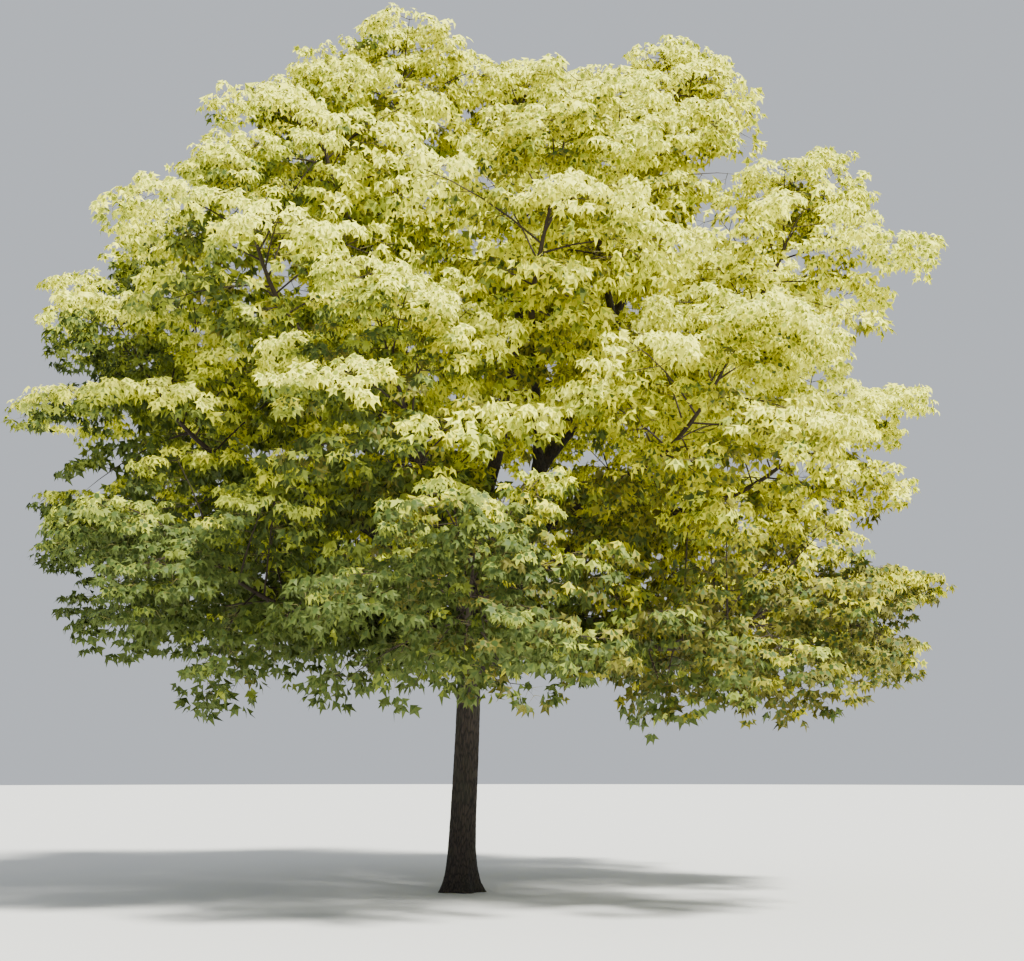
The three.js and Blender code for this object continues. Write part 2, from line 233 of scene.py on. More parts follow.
# Half of a leaf's outline, along and across in shares of its length: the tip of the lobe at its
# base, a notch, the side lobe, a notch, and the shoulder of the middle lobe. Coarser leaves leave
# out some of them, and the notches are given by their places in the half
LEAF_TIP = 0.98
FINE_HALF = [
    (0.03, 0.40), (0.19, 0.22), (0.36, 0.37), (0.60, 0.51), (0.57, 0.29), (0.51, 0.15), (0.74, 0.14)
]
COARSE_HALF = [(0.03, 0.40), (0.19, 0.22), (0.60, 0.51), (0.51, 0.14)]
INNER_OUTLINE = [(0, 0), (0.46, 0.5), (0.5, 0.16), (LEAF_TIP, 0), (0.5, -0.16), (0.46, -0.5)]
INNER_TRIANGLES = [(0, 2, 1), (0, 4, 2), (2, 4, 3), (0, 5, 4)]
INNER_GREEN = 1
FINE_NOTCHES = (1, 5)
COARSE_NOTCHES = (1, 3)

# How the lobes and the tip of a blade sag, how far out a spray stands for fine and for inner
# leaves, and the share of leaves without a green middle
LOBE_SAG = 0.7
TIP_SAG = 0.75
TIP_SAG_FROM = 0.4
FINE_LEAVES_FROM = 0.97
INNER_LEAVES_TO = 0.72
PLAIN_LEAVES = 0.14


def linear(red, green, blue):
    """A color given as it looks on a screen, in parts of 255, as Blender's linear values."""
    return tuple(((share / 255 + 0.055) / 1.055) ** 2.4 for share in (red, green, blue))


# Tones of the leaf margins and of their green middles, the leaves' own variegated colours. A ladder
# lists the margins that a spray may have by their places, from full light to shade, so that which
# step a spray takes is painted light and painted shade: one golden, and one green
MARGIN_TONES = {
    "cream": linear(255, 255, 98),
    "butter": linear(246, 245, 68),
    "yellow": linear(226, 223, 48),
    "gold": linear(190, 185, 40),
    "olive": linear(142, 139, 42),
    "bronze": linear(100, 98, 34),
    "lime": linear(208, 214, 66),
    "leaf_green": linear(162, 171, 58),
    "moss": linear(120, 132, 49),
    "shade_green": linear(85, 98, 41),
}
GOLDEN_LADDER = np.array((0, 1, 2, 3, 4, 5))
GREEN_LADDER = np.array((0, 1, 6, 7, 8, 9))
CENTRE_TONES = {
    "fresh_green": linear(158, 169, 48),
    "mid_green": linear(114, 125, 38),
    "deep_green": linear(66, 84, 36),
}

# How much painted light a spray has at the lower end of each margin tone and middle tone but the last
MARGIN_STEPS = np.array((0.86, 0.66, 0.46, 0.28, 0.1))
CENTRE_STEPS = np.array((0.66, 0.34))

# How much painted light the sprays have on average and how much more to the right, towards the key
# light, at shares of the crown's height, how much lighter inside, as painted light that stands in
# for light coming through the leaves, how far single sprays stray, and how much it tells to lie more
# open than usual to the light, as painted light and painted shadow, everywhere and where the tone is light
TONE_HEIGHTS = (0, 0.15, 0.4, 0.7, 1)
PAINTED_LIGHT_BY_HEIGHT = (-0.05, 0.02, 0.82, 0.81, 0.85)
PAINTED_LIGHT_TO_RIGHT = (0.4, 0.25, 0.7, 0.2, 0.15)
PAINTED_GLOW_INSIDE = 0.03
TONE_SPREAD = 0.17
OPEN_USUAL = 0.5
OPEN_LEAST = 0.2
OPEN_WITH_TONE = 0.92

# How much a spray leans to the green ladder in the middle of the crown's foot, how much less for
# each crown's width to the right and each crown's height up, how sprays stray, and which are green
GREEN_AT_FOOT = 0.85
GREEN_TO_RIGHT = -1.6
GREEN_UPWARDS = -0.8
GREEN_SPREAD = 0.25
GREEN_FROM = 0.5

# Sprays get painted light where the light falls and painted shadow under others: its direction,
# and what counts as shade for a spray
LIGHT_WAY = np.array((0.32, -0.42, 0.85)) / np.linalg.norm((0.32, -0.42, 0.85))
SHADE_FROM = 0.1
SHADE_WIDTH = 0.22
SHADE_COUNT = 3.2


def color_property(name, description, default):
    return FloatVectorProperty(
        name=name, description=description, default=default, subtype="COLOR", min=0, max=1
    )


def number_property(name, description, default, **kind):
    return FloatProperty(name=name, description=description, default=default, min=0, **kind)


LENGTH = dict(unit="LENGTH")
SHARE = dict(max=1, subtype="FACTOR")


class MapleLeafSettings(bpy.types.PropertyGroup):
    """Size and finish of the leaves"""

    length: number_property("Leaf length", "Length of a usual leaf blade, without its stalk", 0.122, **LENGTH)
    roughness: number_property("Leaf roughness", "Roughness of the blades", 0.58, **SHARE)
    gloss: number_property("Leaf gloss", "Specular level of the blades", 0.2, **SHARE)
    stalk: color_property("Leaf stalk", "Color of the leaf stalks", linear(170, 160, 84))


class MapleBarkSettings(bpy.types.PropertyGroup):
    """Relief and colors of the bark"""

    furrow_depth: number_property("Furrow depth", "Depth of the trunk's furrows", 0.012, **LENGTH)
    limb_depth: number_property("Limb relief", "Depth of the limbs' relief", 0.004, **LENGTH)
    ridge: color_property("Ridges", "Color of the bark's ridges", linear(68, 58, 49))
    furrow: color_property("Furrows", "Color in the bark's furrows", linear(20, 16, 13))
    lichen: color_property("Lichen", "Color of the dull green film on the shaded bark", linear(56, 58, 42))
    twig: color_property("Twigs", "Color of the woody twigs", linear(58, 47, 36))
    shoot: color_property("Shoots", "Color of the young shoots", linear(132, 122, 66))


class MapleStageSettings(bpy.types.PropertyGroup):
    """Floor, light and backdrop"""

    floor: color_property("Floor", "Color of the floor", linear(226, 226, 222))
    sky: color_property("Backdrop", "Color of the backdrop and its soft light", linear(222, 228, 236))
    key_strength: number_property("Key light", "Strength of the key light", 10.2)
    fill_strength: number_property("Fill light", "Strength of the backdrop's light", 0.8)


def unit(vectors):
    """Vectors made one metre long."""
    return vectors / np.maximum(np.linalg.norm(vectors, axis=-1, keepdims=True), NEARLY_ZERO)


def lerp(start, end, share):
    return start + (end - start) * share


def bezier(control, share):
    """Points on a Bezier curve at one share, or an array of shares, of its run."""
    share = np.asarray(share, float)[..., None]
    points = list(control)
    while len(points) > 1:
        points = [lerp(start, end, share) for start, end in zip(points, points[1:])]
    return points[0]


def slope(control, share):
    """Direction of a Bezier curve at a share of its run."""
    return unit(bezier([end - start for start, end in zip(control, control[1:])], share))


def number_stream(seed):
    """The repeatable run of numbers from 0 to 1 that the solids are grown with."""
    state = seed & STREAM_MASK

    def draw():
        nonlocal state
        state = (state + STREAM_STEP) & STREAM_MASK
        mixed = ((state ^ (state >> 15)) * (state | 1)) & STREAM_MASK
        mixed ^= (mixed + (mixed ^ (mixed >> 7)) * (mixed | 61)) & STREAM_MASK
        return (mixed ^ (mixed >> 14)) / (STREAM_MASK + 1)

    return draw


class Space:
    """The space of a mass: a flattened ball, walled off where a neighbour's ball lies nearer."""

    flatten = np.array((1, 1, 1 / FLATNESS))

    def __init__(self, mass, masses):
        self.axis = mass.axis
        self.centre = mass.centre
        self.size = mass.size
        normals = []
        offsets = []
        for other in masses:
            across = (other.centre - mass.centre) * self.flatten
            distance = np.linalg.norm(across)
            if distance == 0 or distance > mass.size + other.size:
                continue
            middle = (distance**2 + mass.size**2 - other.size**2) / (2 * distance)
            normals.append(across / distance)
            offsets.append(middle - MASS_GAP)
        # The crown's level underside is one more wall
        normals.append(-UP)
        offsets.append((mass.centre[2] - CROWN_FOOT) / FLATNESS)
        self.normals = np.array(normals)
        self.offsets = np.array(offsets)

    def room(self, points, directions, inner_reach=0.0):
        """How far each point can move in its direction before it leaves the space, which may
        reach further on the side towards the trunk."""
        start = (points - self.centre) * self.flatten
        way = directions * self.flatten
        along = (start * way).sum(-1)
        square = (way * way).sum(-1)
        inward = np.clip((self.centre - points) @ self.axis / self.size, 0, 1)
        inside = along**2 - square * ((start * start).sum(-1) - (self.size + inner_reach * inward) ** 2)
        most = (np.sqrt(np.maximum(inside, 0)) - along) / square
        speed = way @ self.normals.T
        gap = self.offsets - start @ self.normals.T
        to_wall = np.where(speed > NEARLY_ZERO, gap / np.maximum(speed, NEARLY_ZERO), np.inf)
        return np.minimum(most, to_wall.min(-1))


def trunk_control():
    """The trunk's curve, which starts upright and bows before it leans."""
    return [
        np.array((0, 0, 0.0)),
        np.array((0, 0, UPRIGHT_TO * TRUNK_HEIGHT)),
        np.array((TRUNK_BOW, 0, BOW_AT * TRUNK_HEIGHT)),
        np.array((TRUNK_LEAN, 0, TRUNK_HEIGHT)),
    ]


def trunk_radius(height, turn):
    """The trunk's radius at a height and a turn round it, with the lobed flare of its roots."""
    stem = lerp(TRUNK_RADIUS, FORK_RADIUS, height / TRUNK_HEIGHT)
    fade = np.exp(-height / FLARE_HEIGHT)
    return (stem + FLARE_WIDTH * fade) * (1 + LOBE_DEPTH * fade * np.cos(FLARE_LOBES * turn))


def share_at_height(parent, height):
    """The share of a rising limb's run at which it reaches a height."""
    low = 0.0
    high = 1.0
    for _ in range(HALVINGS):
        middle = (low + high) / 2
        if bezier(parent.control, middle)[2] < height:
            low = middle
        else:
            high = middle
    return low


def branch_from(parent, share, name, tip, taper, bend):
    """A limb from its parent's axis to a tip, as a curve and a radius at each share of its run."""
    foot = bezier(parent.control, share)
    length = np.linalg.norm(tip - foot)
    middle = lerp(foot, tip, BEND_AT) + bend * length
    parent_radius = float(parent.radius_at(share))
    foot_radius = min(LIMB_TIP_RADIUS + taper * length, FOOT_SHARE * parent_radius)
    return SimpleNamespace(
        name=name,
        control=[foot, middle, tip],
        length=length,
        parent_radius=parent_radius,
        foot_radius=foot_radius,
        radius_at=lambda at: lerp(foot_radius, LIMB_TIP_RADIUS, at),
    )


def mass_list(draw):
    """The masses: the rings, then one on each leader."""

    def spread(width):
        return (draw() - 0.5) * width

    masses = []
    for ring in RINGS:
        for place in range(ring["count"]):
            bearing = math.radians(ring["bearing"] + 360 * place / ring["count"])
            reach = ring["reach"] + spread(REACH_SPREAD)
            x = reach * math.cos(bearing) + CROWN_SHIFT
            y = reach * math.sin(bearing)
            z = ring["height"] + ring["right"] * x + ring["back"] * y + spread(HEIGHT_SPREAD)
            size = ring["size"] + spread(SIZE_SPREAD)
            name = f"{ring['name']}_{place + 1}"
            group = ring["name"]
            masses.append(SimpleNamespace(
                name=name, group=group, ring=ring, place=place, centre=np.array((x, y, z)), size=size
            ))
    for leader in LEADERS:
        masses.append(SimpleNamespace(
            name=f"spire_{leader['name']}", group="spire", ring=None, leader=leader,
            centre=np.array(leader["centre"]), size=leader["size"],
        ))
    return masses


def plant_mass(mass, masses):
    """The line that a mass grows along, and the point where its limb enters."""
    mass.axis = unit(mass.centre - CROWN_FOCUS)
    mass.space = Space(mass, masses)
    depth = ENTRY_DEPTH * float(mass.space.room(mass.centre, -mass.axis))
    mass.entry = mass.centre - mass.axis * depth


def grow_limbs(masses):
    """The trunk, the leaders and the boughs, in the order of the solids."""
    trunk = SimpleNamespace(name="trunk", control=trunk_control(), length=TRUNK_HEIGHT)
    trunk.radius_at = lambda at: trunk_radius(bezier(trunk.control, at)[..., 2], 0)
    limbs = [trunk]
    leaders = []
    for mass in masses:
        if mass.ring is None:
            outward = unit(mass.centre * (1, 1, 0))
            share = share_at_height(trunk, mass.leader["foot"])
            name = f"leader_{mass.leader['name']}"
            mass.limb = branch_from(trunk, share, name, mass.entry, LEADER_TAPER, outward * LEADER_BOW)
            leaders.append(mass.limb)
    limbs += leaders
    for mass in masses:
        if mass.ring is None:
            continue
        height = mass.ring["foot"] + mass.place * mass.ring["step"]
        parent = trunk
        if mass.ring["foot"] > TRUNK_HEIGHT:
            def away(leader):
                there = bezier(leader.control, share_at_height(leader, height))
                return np.linalg.norm(there - mass.centre)
            parent = min(leaders, key=away)
            share = share_at_height(parent, height)
        elif mass.place % 2 == 1:
            parent = limbs[-1]
            share = SIDE_BOUGH_AT
        else:
            share = share_at_height(trunk, height)
        mass.limb = branch_from(parent, share, f"bough_{mass.name}", mass.entry, BOUGH_TAPER, UP * BOUGH_ARCH)
        limbs.append(mass.limb)
    return limbs


def stem_control(mass):
    """The stem of a mass: on from its limb's tip through the middle of the space."""
    way = slope(mass.limb.control, 1)
    start = mass.entry + way * SEAT_GAP
    end = mass.centre + mass.axis * STEM_BEYOND * float(mass.space.room(mass.centre, mass.axis))
    return [start, start + way * STEM_BEND * np.linalg.norm(end - start), end]


def twig_curves(roots, ways, lengths, sag):
    """Many twigs at once: each leaves its root in its direction, arches up and sags to its tip."""
    reach = lengths[:, None]
    middles = roots + ways * reach / 2 + UP * TWIG_ARCH * reach
    tips = roots + ways * reach - UP * sag * reach
    return SimpleNamespace(control=[roots, middles, tips], lengths=lengths)


def kept(curves, keep):
    """The curves that are to stay."""
    control = [points[keep] for points in curves.control]
    return SimpleNamespace(control=control, lengths=curves.lengths[keep])


def joined(first, second):
    """Two sets of curves as one."""
    return SimpleNamespace(
        control=[np.concatenate(pair) for pair in zip(first.control, second.control)],
        lengths=np.concatenate([first.lengths, second.lengths]),
    )


def room_from(mass, roots, ways, lengths):
    """How far twigs can grow from their roots. Short of the mass, on its limb, they grow freely
    unless they would hang below the crown."""
    short_of = (roots - mass.entry) @ mass.axis < 0
    high_enough = (roots + ways * lengths[:, None])[:, 2] > CROWN_FOOT + LOW_TWIG_MARGIN
    in_space = mass.space.room(roots, ways, INNER_REACH)
    return np.where(short_of, np.where(high_enough, lengths, 0), in_space)


def main_twigs(mass, first_turn, rng):
    """Twigs from the stem to evenly spread places on the skin of the space."""
    stem = stem_control(mass)
    side = unit(np.cross(mass.axis, UP))
    above = np.cross(side, mass.axis)
    number = np.arange(TWIGS + 1)
    forward = np.minimum(-1 + (2 * number + 1) / TWIGS, 1)[:, None]
    turn = (first_turn + number * GOLDEN_ANGLE)[:, None]
    sideways = np.sqrt(1 - forward**2)
    aims = forward * mass.axis + sideways * (np.cos(turn) * side + np.sin(turn) * above)
    targets = mass.centre + aims * mass.space.room(mass.centre, aims)[:, None]
    roots = bezier(stem, lerp(TWIG_FIRST, TWIG_LAST, number / TWIGS))
    ways = unit(targets - roots)
    outer = np.clip((ways * unit(targets - CROWN_MIDDLE)).sum(-1), 0, 1)
    variation = rng.uniform(-TWIG_VARIATION, TWIG_VARIATION, len(roots))
    reach = mass.space.room(roots, ways, INNER_REACH) - SKIN_MARGIN - OUTER_MARGIN * outer + variation
    return twig_curves(roots, ways, np.maximum(reach, TWIG_SHORTEST), TWIG_SAG)


def side_pairs(parents, shares, angle, level, lengths_at, rng):
    """Twigs in pairs on the sides of their parents. On a level parent they spread out level, and
    on a steep one each pair stands across the one before."""
    roots = []
    ways = []
    lengths = []
    count = len(parents.lengths)
    for number, share in enumerate(shares):
        root = bezier(parents.control, share)
        way = slope(parents.control, share)
        across = unit(np.cross(UP, way))
        steep = np.clip((np.abs(way[:, 2:]) - STEEP_FROM) * STEEP_RATE, 0, 1)
        roll = steep * number * math.pi / 2 + rng.uniform(-PAIR_ROLL, PAIR_ROLL, (count, 1))
        lateral = across * np.cos(roll) + np.cross(way, across) * np.sin(roll)
        for hand in (-1, 1):
            turned = unit(way * math.cos(angle) + hand * lateral * math.sin(angle))
            ways.append(unit(turned * (1, 1, level)))
            roots.append(root)
            lengths.append(lengths_at(share) * rng.uniform(PAIR_SHORTEST, PAIR_LONGEST, count))
    return np.concatenate(roots), np.concatenate(ways), np.concatenate(lengths)


def in_company(places):
    """Whether enough other places stand within reach of each."""
    near = np.linalg.norm(places[None] - places[:, None], axis=-1) < COMPANY_REACH
    return near.sum(1) > COMPANY_LEAST


def grow_mass(mass, first_turn, rng):
    """All the wood of one mass, and the sprays of leaves on its tips."""
    limb = SimpleNamespace(
        control=[point[None] for point in mass.limb.control], lengths=np.array([mass.limb.length])
    )
    side_twigs = twig_curves(*side_pairs(
        limb, SIDE_TWIGS_AT, SIDE_TWIG_ANGLE, SIDE_TWIG_LEVEL, lambda share: SIDE_TWIG_LENGTH, rng
    ), TWIG_SAG)
    twigs = joined(main_twigs(mass, first_turn, rng), side_twigs)

    def branchlet_length(share):
        tapering = 1 - BRANCHLET_TAPER * abs(share - WIDEST_PAIR_AT)
        return np.minimum(BRANCHLET_SHARE * twigs.lengths, BRANCHLET_LONGEST) * tapering

    roots, ways, lengths = side_pairs(
        twigs, BRANCHLETS_AT, PAIR_ANGLE, BRANCHLET_LEVEL, branchlet_length, rng
    )
    lengths = np.minimum(lengths, room_from(mass, roots, ways, lengths))
    sag = SKIRT_SAG if mass.group == "skirt" else BRANCHLET_SAG
    branchlets = kept(twig_curves(roots, ways, lengths, sag), lengths > BRANCHLET_SHORTEST)

    def shoot_length(share):
        return SHOOT_LENGTH * (SHOOT_AT_FOOT - SHOOT_FALL * share)

    roots, ways, lengths = side_pairs(branchlets, SHOOTS_AT, SHOOT_ANGLE, SHOOT_LEVEL, shoot_length, rng)
    bearer = np.tile(np.arange(len(branchlets.lengths)), 2 * len(SHOOTS_AT))
    borne = branchlets.lengths[bearer] > np.repeat(SHOOT_BEARERS, 2 * len(branchlets.lengths))
    grown = borne & (room_from(mass, roots, ways, lengths) >= lengths)
    shoots = kept(twig_curves(roots, ways, lengths, 0), grown)

    tips = np.concatenate([curves.control[-1] for curves in (twigs, branchlets, shoots)])
    company = in_company(tips)[len(twigs.lengths):]
    branchlet_stays, shoot_stays = np.split(company, [len(branchlets.lengths)])
    shoot_stays &= branchlet_stays[bearer[grown]]
    mass.stem = stem_control(mass)
    mass.twigs = twigs
    mass.branchlets = kept(branchlets, branchlet_stays)
    mass.shoots = kept(shoots, shoot_stays)
    bearing = [mass.twigs, mass.branchlets, mass.shoots]
    mass.sprays = SimpleNamespace(
        place=np.concatenate([curves.control[-1] for curves in bearing]),
        way=np.concatenate([slope(curves.control, 1) for curves in bearing]),
    )


def grow_leaves(mass, leaf_length, rng):
    """The leaves of one mass: where each blade starts, its directions, length, sag and tones."""
    sprays = mass.sprays
    outward = unit((sprays.place - mass.centre) * mass.space.flatten)
    from_trunk = unit((sprays.place - CROWN_FOCUS) * CROWN_DRAWN_IN)
    outer = (outward * from_trunk).sum(-1)
    # Leaves in the shade inside the crown grow larger
    size_share = lerp(SHADE_LEAF, SUN_LEAF, np.clip(outer, 0, 1))
    leaves = []
    for number, angle in enumerate(SPRAY_ANGLES):
        # The sprays inside the crown have fewer leaves
        chosen = np.flatnonzero((outer > OUTER_FROM) | (number < INNER_SPRAY))
        way = sprays.way[chosen]
        size = len(chosen)
        leading = way + OUTWARD_TURN * outward[chosen]
        jitter = rng.uniform(-ANGLE_JITTER, ANGLE_JITTER, size)
        heading = np.arctan2(leading[:, 1], leading[:, 0]) + angle + jitter
        level = np.stack([np.cos(heading), np.sin(heading), np.zeros(size)], -1)
        rise = rng.uniform(STALK_LOWEST, STALK_STEEPEST, (size, 1))
        stalk_way = unit(level + STALK_FORWARD * way + UP * rise)
        stalk = rng.uniform(STALK_LEAST, STALK_MOST, (size, 1))
        droop = rng.uniform(DROOP_LEAST, DROOP_MOST, (size, 1))
        along = unit(level - UP * droop * LEAF_DROOP)
        facing = UP + LEAF_FACING * outward[chosen] + rng.normal(0, FACING_JITTER, (size, 3))
        facing = unit(facing - along * (facing * along).sum(-1, keepdims=True))
        leaves.append(SimpleNamespace(
            foot=sprays.place[chosen],
            base=sprays.place[chosen] + stalk_way * stalk,
            along=along,
            facing=facing,
            length=leaf_length * size_share[chosen] * rng.uniform(LEAF_SMALLEST, LEAF_LARGEST, size),
            sag=rng.normal(1, SAG_SPREAD, size),
            outer=outer[chosen],
            spray=chosen,
        ))
    merged = SimpleNamespace(**{
        field: np.concatenate([getattr(one, field) for one in leaves]) for field in vars(leaves[0])
    })
    margin, centre = spray_tones(mass, outer, rng)
    merged.margin = margin[merged.spray]
    plain = rng.random(len(merged.spray)) < PLAIN_LEAVES
    merged.centre = np.where(plain, merged.margin, len(MARGIN_TONES) + centre[merged.spray])
    return merged


def spray_tones(mass, outer, rng):
    """The tones of the margins and of the green middles of each spray, with light and shade painted in:
    palest high up, to the right and where it lies open to the light, darker in the painted shadow of the
    sprays above, and on the green ladder mostly low down and on the left."""
    place = mass.sprays.place
    height = (place[:, 2] - CROWN_FOOT) / (cad_high[2] - CROWN_FOOT)
    by_height = np.interp(height, TONE_HEIGHTS, PAINTED_LIGHT_BY_HEIGHT)
    right = place[:, 0] / (cad_high[0] - cad_low[0])
    # Painted light: paler high up and to the right, on the key light's side, and a little paler inside for
    # the light that comes through the leaves
    light = by_height + np.interp(height, TONE_HEIGHTS, PAINTED_LIGHT_TO_RIGHT) * right - PAINTED_GLOW_INSIDE * outer
    # Painted shadow: darker where other sprays lie between a spray and the light, paler where none do
    light += (open_share(place) - OPEN_USUAL) * (OPEN_LEAST + OPEN_WITH_TONE * by_height)
    light += rng.normal(0, TONE_SPREAD, len(place))
    step = (light[:, None] < MARGIN_STEPS).sum(-1)
    centre_light = light + rng.normal(0, TONE_SPREAD, len(place))
    centre = (centre_light[:, None] < CENTRE_STEPS).sum(-1)
    greener = GREEN_AT_FOOT + GREEN_TO_RIGHT * right + GREEN_UPWARDS * height
    green = greener + rng.normal(0, GREEN_SPREAD, len(place)) > GREEN_FROM
    return np.where(green, GREEN_LADDER[step], GOLDEN_LADDER[step]), centre


def open_share(places):
    """How open each place lies to the light: 1 with no others between, and near 0 under many."""
    offset = places[None] - places[:, None]
    along = offset @ LIGHT_WAY
    across = np.linalg.norm(offset - along[..., None] * LIGHT_WAY, axis=-1)
    covers = (along > SHADE_FROM) & (across < SHADE_WIDTH)
    return np.exp(-covers.sum(1) / SHADE_COUNT)


def grow_crown():
    """The limbs and the masses with all their wood, grown once and kept."""
    if not hasattr(grow_crown, "grown"):
        draw = number_stream(SEED)
        masses = mass_list(draw)
        for mass in masses:
            plant_mass(mass, masses)
        limbs = grow_limbs(masses)
        for number, mass in enumerate(masses):
            rng = np.random.default_rng([SEED, number])
            grow_mass(mass, 2 * math.pi * draw(), rng)
        grow_crown.grown = SimpleNamespace(limbs=limbs, masses=masses)
    return grow_crown.grown


class MeshParts:
    """Vertices and triangles gathered from many shapes, for one object."""

    def __init__(self):
        self.points = []
        self.triangles = []
        self.looks = []
        self.unbent = []
        self.count = 0

    def add(self, points, triangles, looks=0, unbent=None):
        self.points.append(points)
        self.triangles.append(triangles + self.count)
        self.looks.append(np.broadcast_to(looks, len(triangles)))
        if unbent is not None:
            self.unbent.append(unbent)
        self.count += len(points)

    def make(self, name, materials, smooth=True):
        """A Blender object of the gathered shapes, on the root body."""
        points = np.concatenate(self.points)
        triangles = np.concatenate(self.triangles)
        mesh = bpy.data.meshes.new(name)
        mesh.vertices.add(len(points))
        mesh.vertices.foreach_set("co", points.astype(np.float32).ravel())
        mesh.loops.add(triangles.size)
        mesh.loops.foreach_set("vertex_index", triangles.astype(np.int32).ravel())
        mesh.polygons.add(len(triangles))
        mesh.polygons.foreach_set("loop_start", np.arange(0, triangles.size, 3, dtype=np.int32))
        mesh.polygons.foreach_set("material_index", np.concatenate(self.looks).astype(np.int32))
        mesh.polygons.foreach_set("use_smooth", np.full(len(triangles), smooth))
        if self.unbent:
            layer = mesh.attributes.new("unbent", "FLOAT_VECTOR", "POINT")
            layer.data.foreach_set("vector", np.concatenate(self.unbent).astype(np.float32).ravel())
        mesh.update(calc_edges=True)
        for material in materials:
            mesh.materials.append(material)
        piece = bpy.data.objects.new(name, mesh)
        bpy.context.scene.collection.objects.link(piece)
        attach(piece, "root")
        return piece


def tube_rings(path, radius, sides):
    """Rings of points round many curves at once. The path has a row of points for each curve, and
    the radius is one number for each point or for each corner."""
    ways = unit(np.gradient(path, axis=1))
    reference = np.eye(3)[np.abs(ways).max(axis=1).argmin(axis=1)][:, None]
    side = unit(np.cross(reference, ways))
    above = np.cross(ways, side)
    turn = (2 * math.pi * np.arange(sides) / sides)[:, None]
    outward = side[:, :, None] * np.cos(turn) + above[:, :, None] * np.sin(turn)
    return path[:, :, None] + outward * radius[..., None]


def tube_triangles(curves, rings, sides):
    """Triangles between rings, and from the last ring to a point after all the rings."""
    ring = np.arange(rings - 1)[:, None] * sides
    corner = np.arange(sides)
    following = (corner + 1) % sides
    a = ring + corner
    b = ring + following
    walls = np.stack([a, b, b + sides, a, b + sides, a + sides], -1).reshape(-1, 3)
    point = rings * sides
    last = point - sides
    tip = np.stack([last + corner, last + following, np.full(sides, point)], -1)
    one = np.concatenate([walls, tip])
    return (one[None] + (np.arange(curves) * (point + 1))[:, None, None]).reshape(-1, 3)


def add_twigs(parts, curves, foot_radius, sides, rings, look):
    """Many tapering twigs that end in a point."""
    shares = np.linspace(0, 1, rings + 1)
    path = bezier([points[:, None] for points in curves.control], shares)
    count = len(path)
    radius = np.broadcast_to(foot_radius * (1 - WOOD_TAPER * shares[:-1]), (count, rings))
    if rings > 1:
        points = tube_rings(path[:, :-1], radius[..., None], sides)
    else:
        points = one_ring(path, radius, sides)
    points = np.concatenate([points.reshape(count, -1, 3), path[:, -1:]], axis=1)
    parts.add(points.reshape(-1, 3), tube_triangles(count, rings, sides), look)


def one_ring(path, radius, sides):
    """The ring at the foot of many straight twigs."""
    whole = tube_rings(path, np.repeat(radius, 2, axis=1)[..., None], sides)
    return whole[:, :1]


# Meshes of the limbs, the seeds of their relief, and the swelling at a limb's foot
TRUNK_MESH = dict(sides=112, rings=150, ridges=24)
LEADER_MESH = dict(sides=24, rings=70, ridges=11)
BOUGH_MESH = dict(sides=14, rings=36, ridges=8)
TRUNK_SEED = 5.0
LIMB_SEED = 11.0
HEIGHT_SAMPLES = 221
COLLAR_SWELL = 0.4
COLLAR_LENGTH = 1.6

# Relief of the bark: how fine its noises are across and along a limb, how far they push the ridges
# about, how narrow the furrows are, and how much the grain adds
WANDER_ACROSS = 6
WANDER_ALONG = 1.7
FORK_ACROSS = 17
FORK_ALONG = 5
GRAIN_ACROSS = 55
GRAIN_ALONG = 22
WANDER_SHIFT = 3.4
FORK_SHIFT = 1.5
FURROW_SHARPNESS = 1.6
GRAIN_SHARE = 0.22


def bark_relief(turn, along, radius, ridges, depth, seed):
    """How far the bark stands in from a limb's radius: long ridges that wander, part and join."""
    relief = np.empty(turn.shape)
    for place in np.ndindex(turn.shape):
        x = radius[place] * math.cos(turn[place])
        y = radius[place] * math.sin(turn[place])
        z = along[place]
        wander = noise.noise(Vector((x * WANDER_ACROSS, y * WANDER_ACROSS, z * WANDER_ALONG + seed)))
        fork = noise.noise(Vector((x * FORK_ACROSS + seed, y * FORK_ACROSS, z * FORK_ALONG)))
        wave = abs(math.sin(ridges / 2 * turn[place] + WANDER_SHIFT * wander + FORK_SHIFT * fork))
        grain = noise.noise(Vector((x * GRAIN_ACROSS, y * GRAIN_ACROSS + seed, z * GRAIN_ALONG)))
        relief[place] = -depth * ((1 - wave) ** FURROW_SHARPNESS + GRAIN_SHARE * grain)
    return relief


def add_limb(parts, limb, radius_at, depth, seed, sides, rings, ridges, flat_foot=False):
    """A limb's mesh with the relief of bark, and the coordinates of the limb as if it were straight."""
    length = limb.length
    shares = np.linspace(0, 1, rings + 1)
    path = bezier(limb.control, shares)[None]
    turn, along = np.meshgrid(2 * math.pi * np.arange(sides) / sides, shares[:-1] * length)
    radius = radius_at(shares[:-1], turn)
    shaped = radius + bark_relief(turn, along, radius, ridges, depth, seed)
    points = tube_rings(path, np.concatenate([shaped, shaped[-1:]])[None], sides)[0, :-1]
    if flat_foot:
        points[0, :, 2] = 0
    unbent = np.stack([radius * np.cos(turn), radius * np.sin(turn), along], -1).reshape(-1, 3)
    triangles = tube_triangles(1, rings, sides)
    points = np.concatenate([points.reshape(-1, 3), path[0, -1:]])
    unbent = np.concatenate([unbent, [[0, 0, length]]])
    if flat_foot:
        corner = np.arange(sides)
        centre = np.full(sides, len(points))
        disc = np.stack([(corner + 1) % sides, corner, centre], -1)
        triangles = np.concatenate([triangles, disc])
        points = np.concatenate([points, path[0, :1]])
        unbent = np.concatenate([unbent, [[0, 0, 0]]])
    parts.add(points, triangles, 0, unbent)


